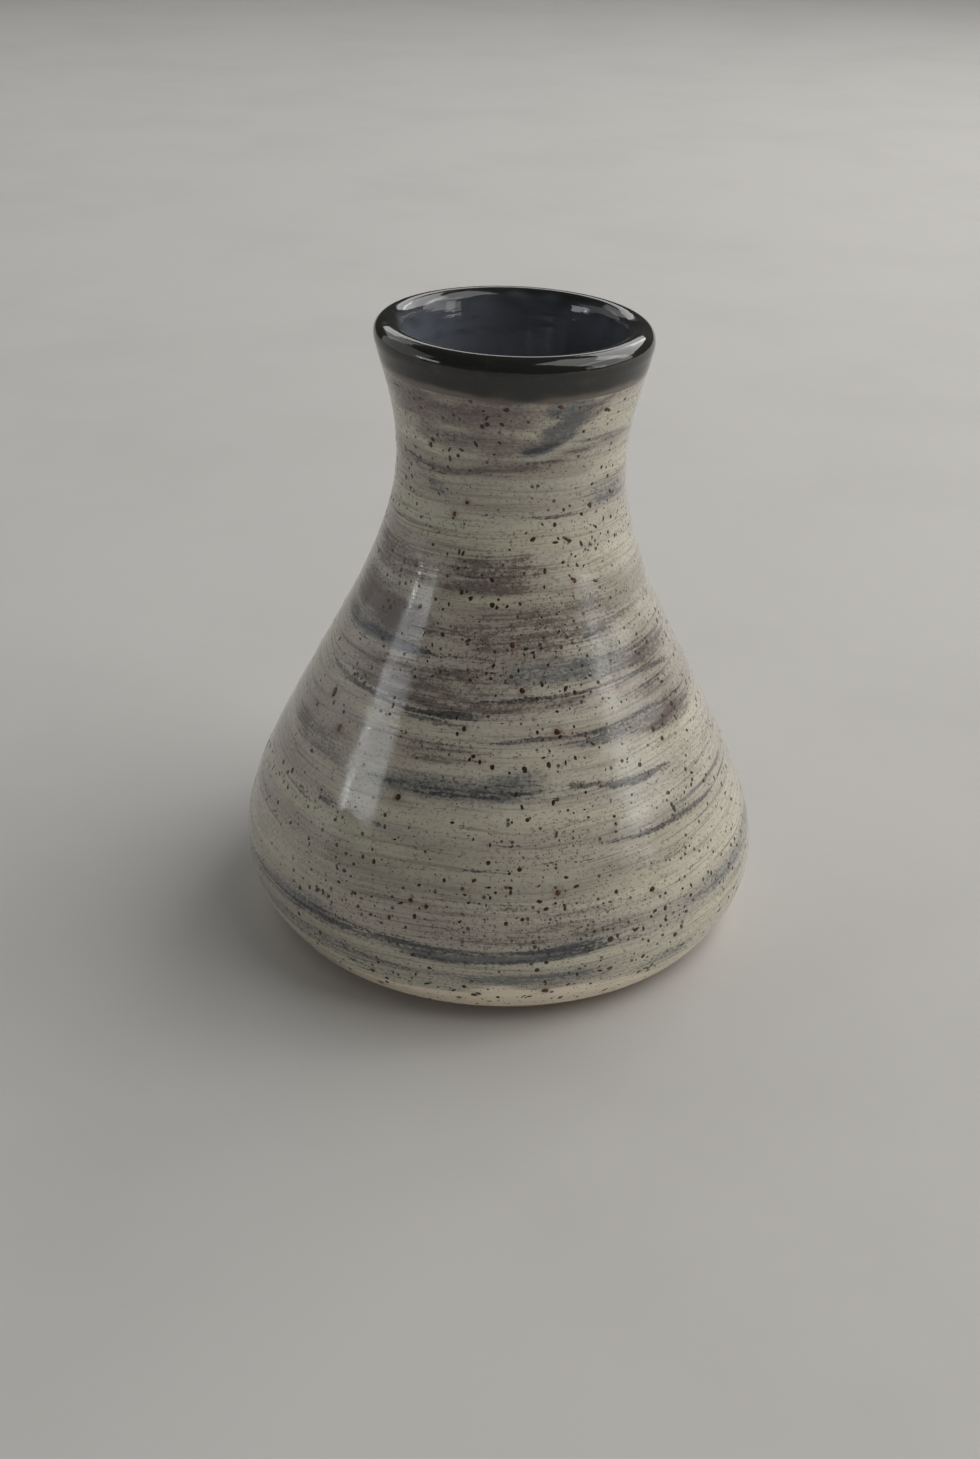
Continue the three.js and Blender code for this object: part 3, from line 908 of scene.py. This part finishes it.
# The ones that catch the eye: angle, height, width across, stretch, rustiness of the glaze round it.
namedSpecks = [
    (-60, 57, 2, 1.8, 0.8), (-51, 52.3, 1.7, 1.6, 1), (-58, 55.4, 1.1, 1.5, 0.2),
    (-66, 52.6, 1.1, 1.2, 0.3), (-41, 108.9, 1.2, 1.8, 0.6), (-30, 107.1, 1.1, 2, 0.3),
    (-26.5, 96.4, 1.1, 1.6, 0.9), (-20.5, 99, 0.9, 0.9, 1), (-42.5, 85, 1.1, 1.1, 0.3),
    (-50.5, 83, 1, 1.3, 0.2), (-43, 81.8, 0.8, 1.6, 0.1), (-62, 99.7, 1, 1.5, 0.1),
    (-22, 89.5, 1, 2.4, 0.2), (16.5, 86.6, 1.1, 2, 0.5), (16, 83.7, 0.8, 1.8, 0.2), (30, 84, 1.1, 1.2, 0.7),
    (21.8, 95, 1.1, 1.2, 0.1), (26.3, 97.6, 0.9, 1.2, 0), (41.7, 97.2, 1, 1.1, 0),
    (42.5, 101.4, 0.8, 1.1, 0.1), (54.4, 101.9, 1, 1.1, 0.3), (48.5, 104.3, 0.9, 1.4, 0.3),
    (27.3, 92, 0.8, 1.2, 0.9), (41.8, 91.1, 0.7, 1.6, 0.1), (53, 90.8, 0.8, 1.2, 0.4),
    (57, 93.4, 0.9, 1.2, 0.2), (6.8, 65.8, 1.4, 1.2, 0.5), (3.4, 73.5, 1.2, 1.2, 0.5),
    (5.6, 69.2, 0.8, 1.6, 0.1), (-3.6, 67.8, 0.9, 0.8, 0.2), (-10.4, 67.3, 0.9, 1, 0.3),
    (7.3, 52.3, 1.5, 1.3, 0.1), (13.9, 52.8, 1.3, 1.5, 0.1), (17.2, 58.2, 1.5, 0.9, 1),
    (11.2, 58.5, 0.9, 1.3, 0), (22.5, 58.7, 0.7, 1.5, 0), (21.6, 53.4, 1, 1.3, 0),
    (-10.4, 58.9, 1.2, 1.3, 0.6), (-13, 60.6, 0.9, 1.4, 0.2), (-12.2, 57.9, 0.9, 1.2, 0.1),
    (-5, 53.5, 1, 1.4, 0.7), (-1.5, 52.7, 1.2, 1.2, 0.3), (-25.4, 45.3, 1.5, 1, 0.7),
    (-27.8, 41.7, 1, 1.1, 0.2), (52, 51.4, 1.3, 1.1, 0.3), (49.6, 53.8, 1.3, 1.1, 0.4),
    (62, 55.6, 1.3, 1.4, 0.5), (55.5, 55, 1, 1.2, 0.4), (29.8, 42, 0.8, 0.9, 0),
    (29.8, 40.7, 0.9, 1.1, 0.8), (57, 43.9, 1.1, 1.1, 0), (57, 40.9, 1, 1.1, 0), (47.6, 40, 1, 1.3, 0),
    (-62.6, 39.9, 1.5, 1.1, 0.1), (-64.4, 38.9, 1.2, 0.9, 0.1), (-68.8, 39.2, 1.3, 1, 0.3),
    (-61.6, 36.7, 1.1, 1.1, 0), (-28, 33.1, 1.2, 1.2, 0.1), (-31, 33.3, 1, 1.3, 0.1),
    (-38.6, 33.4, 1, 1.2, 0), (-34.9, 29.6, 1.1, 0.8, 0), (-11, 32.6, 0.9, 1.3, 0),
    (-47.4, 31.7, 0.9, 1, 0.1), (13.8, 30.5, 1.3, 0.9, 1), (36, 26.9, 1.5, 0.8, 0.5),
    (27, 28.7, 1.1, 1.1, 0.1), (11, 27.8, 1.1, 0.8, 0.2), (15, 27.4, 0.9, 1, 0.2), (5.9, 26, 1, 0.9, 0),
    (-18, 28, 1.1, 0.9, 0.6), (-14.4, 27.3, 1.1, 1, 0.4), (-16.8, 25, 1.2, 1.4, 0.1),
    (-22.4, 23.7, 1, 1.3, 0), (24.6, 19.7, 1.6, 0.8, 0.2), (26.2, 20.1, 0.9, 1.1, 0),
    (41, 15.3, 1.4, 0.9, 0.3), (32.4, 13.3, 1.2, 1, 0.1), (10.6, 16.9, 1.1, 0.9, 0),
    (10.4, 9.4, 1.6, 0.8, 0.8), (32.2, 8.8, 1.2, 0.8, 0.2), (-4.6, 8.1, 1.4, 0.8, 0.3),
    (-6.4, 10.6, 1.2, 1, 0.1), (-8, 6.5, 1.1, 0.9, 0.5), (7.1, 7.7, 1, 0.7, 0.2), (14, 5.6, 1, 0.8, 0.1),
    (-26.6, 5.4, 1.3, 0.7, 0.9),
]

specks = dict(
    seed=23,
    scattered=2150,
    smallest=0.13 * mm,  # half the width of a scattered speck
    largest=0.52 * mm,
    smallness=2.3,       # the higher, the fewer large ones
    heights=(4, 119),
    namedShare=0.42,     # half width of a named speck, as a share of the width above
    domeShare=0.09,      # how far a speck stands up, as a share of its half width
    ragged=0.85,
    raggedScale=1600.0,
    sides=(9, 4),        # segments and rings of each one
    haloShare=0.75,      # the rust's reach, as a share of the speck's width
    leastRust=0.15,
)


def landing(lookup, angle, height):
    # where a level line from outside towards the axis meets the skin
    turn = math.radians(angle)
    outward = Vector((math.sin(turn), -math.cos(turn), 0))
    middle = Vector((axisAt(height), 0, height))
    place, normal, _, _ = lookup.ray_cast(middle + outward * 0.1, -outward)
    return place, normal


def scatterChance(angle, height):
    # specks crowd in some bands and thin out in others, and the narrow neck has fewer
    turn = math.radians(angle)
    richness = 0.5 + 0.5 * math.sin(height * 0.21 + 0.8) * math.cos(turn * 2 + height * 0.05)
    crowd = noise.noise(Vector((math.sin(turn) * 1.6, math.cos(turn) * 1.6, height * 0.07)))
    radiusShare = 1.0 if height < 45 else 1.0 - 0.55 * min(1, (height - 45) / 50)
    return radiusShare * (0.32 + 0.30 * richness + 1.1 * crowd)


def speckPlaces():
    rng = np.random.default_rng(specks["seed"])
    places = [(a, h, w * specks["namedShare"] * mm, stretch, math.radians(a))
              for a, h, w, stretch, _ in namedSpecks]
    while len(places) < len(namedSpecks) + specks["scattered"]:
        angle, height = rng.uniform(-180, 180), rng.uniform(*specks["heights"])
        if rng.uniform() > scatterChance(angle, height):
            continue
        growth = (specks["largest"] - specks["smallest"]) * rng.uniform() ** specks["smallness"]
        half = specks["smallest"] + growth
        places.append((angle, height, half, rng.uniform(0.9, 2.2), rng.uniform(0, math.pi)))
    return places


def makeSpeckTree():
    tree, given, result = newTree("meltSpecks", (
        ("Places", "Geometry"), ("Dome", "Float"), ("Ragged", "Float"), ("Seed", "Int"),
        ("Material", "Material")), "Specks")

    def named(name, kind="FLOAT"):
        node = addNode(tree, "GeometryNodeInputNamedAttribute", {"Name": name}, data_type=kind)
        return node.outputs["Attribute"]

    facing, size = named("facing", "FLOAT_VECTOR"), named("halfWidth")
    segments, rings = specks["sides"]
    ball = addNode(tree, "GeometryNodeMeshUVSphere", {"Radius": 1.0, "Segments": segments, "Rings": rings})
    points = addNode(tree, "GeometryNodeMeshToPoints", {"Mesh": given["Places"]})
    turned = addNode(tree, "FunctionNodeAlignRotationToVector", {"Vector": facing}, axis="Z")
    longer = calc("SQRT", named("stretch"))
    scale = joined(calc("DIVIDE", size, longer), times(size, longer), times(size, given["Dome"]))
    onPoints = addNode(tree, "GeometryNodeInstanceOnPoints", {
        "Points": points, "Instance": ball, "Rotation": turned, "Scale": scale})
    spun = addNode(tree, "GeometryNodeRotateInstances", {
        "Instances": onPoints, "Rotation": joined(0.0, 0.0, named("spin"))})
    real = addNode(tree, "GeometryNodeRealizeInstances", {"Geometry": spun})

    # ragged outlines: every point is pushed about by a noise finer than a speck
    push = addNode(tree, "ShaderNodeTexNoise", {
        "Vector": tree.nodes.new("GeometryNodeInputPosition"), "W": given["Seed"],
        "Scale": specks["raggedScale"], "Detail": 1.0}, noise_dimensions="4D")

    def vectorMath(operation, first, second):
        return combine("ShaderNodeVectorMath", (first, second), operation=operation)

    offset = vectorMath("SUBTRACT", push.outputs["Color"], (0.5, 0.5, 0.5))
    reach = times(size, given["Ragged"])
    far = addNode(tree, "ShaderNodeVectorMath", {0: offset, "Scale": reach}, operation="SCALE").outputs[0]
    # the push keeps to the surface: the part along the facing direction is taken out
    level = vectorMath("SUBTRACT", far, vectorMath("PROJECT", far, facing))
    move = addNode(tree, "GeometryNodeSetPosition", {"Geometry": real, "Offset": level})
    endTree(tree, move, given["Material"], result)
    return tree


def makeSpecks(lookup):
    found = [(landing(lookup, place[0], place[1] * mm), place[2:]) for place in speckPlaces()]
    found = [(hit, shape) for hit, shape in found if hit[0] is not None]
    piece = newPiece("ironSpecks", [hit[0] for hit, _ in found])
    mesh = piece.data
    for column, name in enumerate(("halfWidth", "stretch", "spin")):
        keep(mesh, name, [shape[column] for _, shape in found])
    facing = mesh.attributes.new("facing", "FLOAT_VECTOR", "POINT")
    facing.data.foreach_set("vector", np.array([hit[1] for hit, _ in found], dtype=np.float32).ravel())
    applyTree(piece, makeSpeckTree(), {
        "Dome": specks["domeShare"], "Ragged": specks["ragged"],
        "Seed": specks["seed"], "Material": ironMaterial})
    return piece


def bleedRust(mesh, lookup):
    # iron bleeds a rusty ring into the glaze round some specks
    places, _, _ = readPlaces(mesh)
    halo = np.zeros(len(places))
    for angle, height, width, _, rust in namedSpecks:
        centre, _ = landing(lookup, angle, height * mm)
        if centre is None or rust < specks["leastRust"]:
            continue
        away = np.linalg.norm(places - np.array(centre), axis=1)
        halo = np.maximum(halo, rust * np.exp(-(away / (width * specks["haloShare"] * mm)) ** 2))
    keep(mesh, "halo", halo)


skinLookup = BVHTree.FromPolygons(
    [v.co for v in outerSkin.data.vertices], [tuple(p.vertices) for p in outerSkin.data.polygons])
bleedRust(outerSkin.data, skinLookup)
ironSpecks = makeSpecks(skinLookup)
print("vase: specks melted in,", len(ironSpecks.data.polygons), "faces")


def finishPiece(piece, node):
    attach(piece, "root")
    if node:
        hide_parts(node)


finishPiece(outerSkin, "outer_glaze")
finishPiece(rimCoat, "rim_glaze")
finishPiece(linerCoat, "liner_glaze")
finishPiece(clayBody, "clay_body")
finishPiece(ironSpecks, None)


# The studio: pale table, soft windows, camera.

studio = dict(
    tableColour=tint(196, 194, 190),
    tableShade=tint(192, 190, 186),
    tableRoughness=0.75,
    tableSize=8.0,
    skyStrength=0.05,
    skyColour=(1.0, 0.99, 0.97, 1.0),
    aimShare=0.45,  # the windows face this share of the vase's height
)


def makeTable():
    half = studio["tableSize"] / 2
    corners = [(-half, -half, 0), (half, -half, 0), (half, half, 0), (-half, half, 0)]
    table = newPiece("paleTable", corners, [(0, 1, 2, 3)])
    material, shader, spot = newMaterial("palePaintedTable", Roughness=studio["tableRoughness"])
    clouds = rampTo(noiseAt(spot, 9.0, 4.0, 0.6), 0.4, 0.7)
    colour = blendTo(studio["tableColour"], studio["tableShade"], clouds)
    feed(shader.inputs["Base Color"], colour)
    table.data.materials.append(material)


warmDay = (1.0, 0.99, 0.98)
coolDay = (0.93, 0.97, 1.0)

# Each window: bearing in degrees (0 is towards the camera, positive to the right), elevation,
# distance, width, height, watts, and its tint. The glaze does not mirror the ones named Fill.
windows = dict(
    left=(-72, 14.4, 1.6, 0.6, 0.28, 1.6, coolDay),
    lamp=(-78, 9, 1.5, 0.05, 0.05, 0.11, coolDay),
    rightLow=(68, 11, 1.6, 0.5, 0.3, 0.62, (0.96, 0.98, 1.0)),
    frontFill=(12, 1, 1.2, 1.3, 0.12, 1.25, (1, 0.99, 0.97)),
    rightFill=(60, 1, 1.2, 0.9, 0.12, 1.1, warmDay),
    leftFill=(-52, 1, 1.2, 0.6, 0.1, 0.3, warmDay),
    leftWall=(-105, 20, 1.8, 1.8, 1.4, 4.5, warmDay),
    right=(88, 24, 1.8, 1.4, 1.2, 8.4, warmDay),
    rightHigh=(85, 55, 2, 1.6, 1.4, 13.2, warmDay),
    backRight=(128, 38, 1.8, 1.6, 1, 14, warmDay),
    back=(178, 30, 2.4, 2.4, 0.6, 8.8, (1, 1, 1.0)),
    backLeft=(-140, 35, 1.8, 0.8, 0.7, 1.6, (1, 1, 1.0)),
)


def hangWindows():
    aim = Vector((0, 0, vaseHeight * studio["aimShare"]))
    for name, (bearing, elevation, distance, width, height, watts, colour) in windows.items():
        turn, lift = math.radians(bearing), math.radians(elevation)
        towards = Vector((math.sin(turn) * math.cos(lift), -math.cos(turn) * math.cos(lift), math.sin(lift)))
        light = bpy.data.lights.new(name + "Window", "AREA")
        light.shape = "RECTANGLE"
        light.size, light.size_y = width, height
        light.energy = watts
        light.color = colour
        lamp = putInScene(name + "Window", light)
        lamp.location = aim + towards * distance
        lamp.rotation_euler = (-towards).to_track_quat("-Z", "Y").to_euler()
        lamp.visible_glossy = not name.endswith("Fill")


def makeSky():
    world = bpy.data.worlds.new("softRoom")
    bpy.context.scene.world = world
    world.use_nodes = True
    background = world.node_tree.nodes["Background"]
    background.inputs["Color"].default_value = studio["skyColour"]
    background.inputs["Strength"].default_value = studio["skyStrength"]


viewpoint = dict(
    lens=41.95,
    sensor=36.0,
    clip=(0.01, 50.0),
    back=0.3219,  # from the axis towards -Y
    up=0.2164,
    pitchDown=28.93,
    turnRight=0.54,
    roll=0.996,
)


def makeCamera():
    data = bpy.data.cameras.new("camera")
    data.lens = viewpoint["lens"]
    data.sensor_width = viewpoint["sensor"]
    data.sensor_fit = "AUTO"
    data.clip_start, data.clip_end = viewpoint["clip"]
    camera = putInScene("camera", data)
    turn = Matrix.Rotation(math.radians(viewpoint["turnRight"]), 4, "Z")
    pitch = Matrix.Rotation(math.radians(90 - viewpoint["pitchDown"]), 4, "X")
    roll = Matrix.Rotation(math.radians(viewpoint["roll"]), 4, "Z")
    place = Matrix.Translation((0, -viewpoint["back"], viewpoint["up"]))
    camera.matrix_world = place @ turn @ pitch @ roll
    bpy.context.scene.camera = camera


makeTable()
hangWindows()
makeSky()
makeCamera()
bpy.context.scene.view_settings.view_transform = "Standard"
print("vase: studio ready")
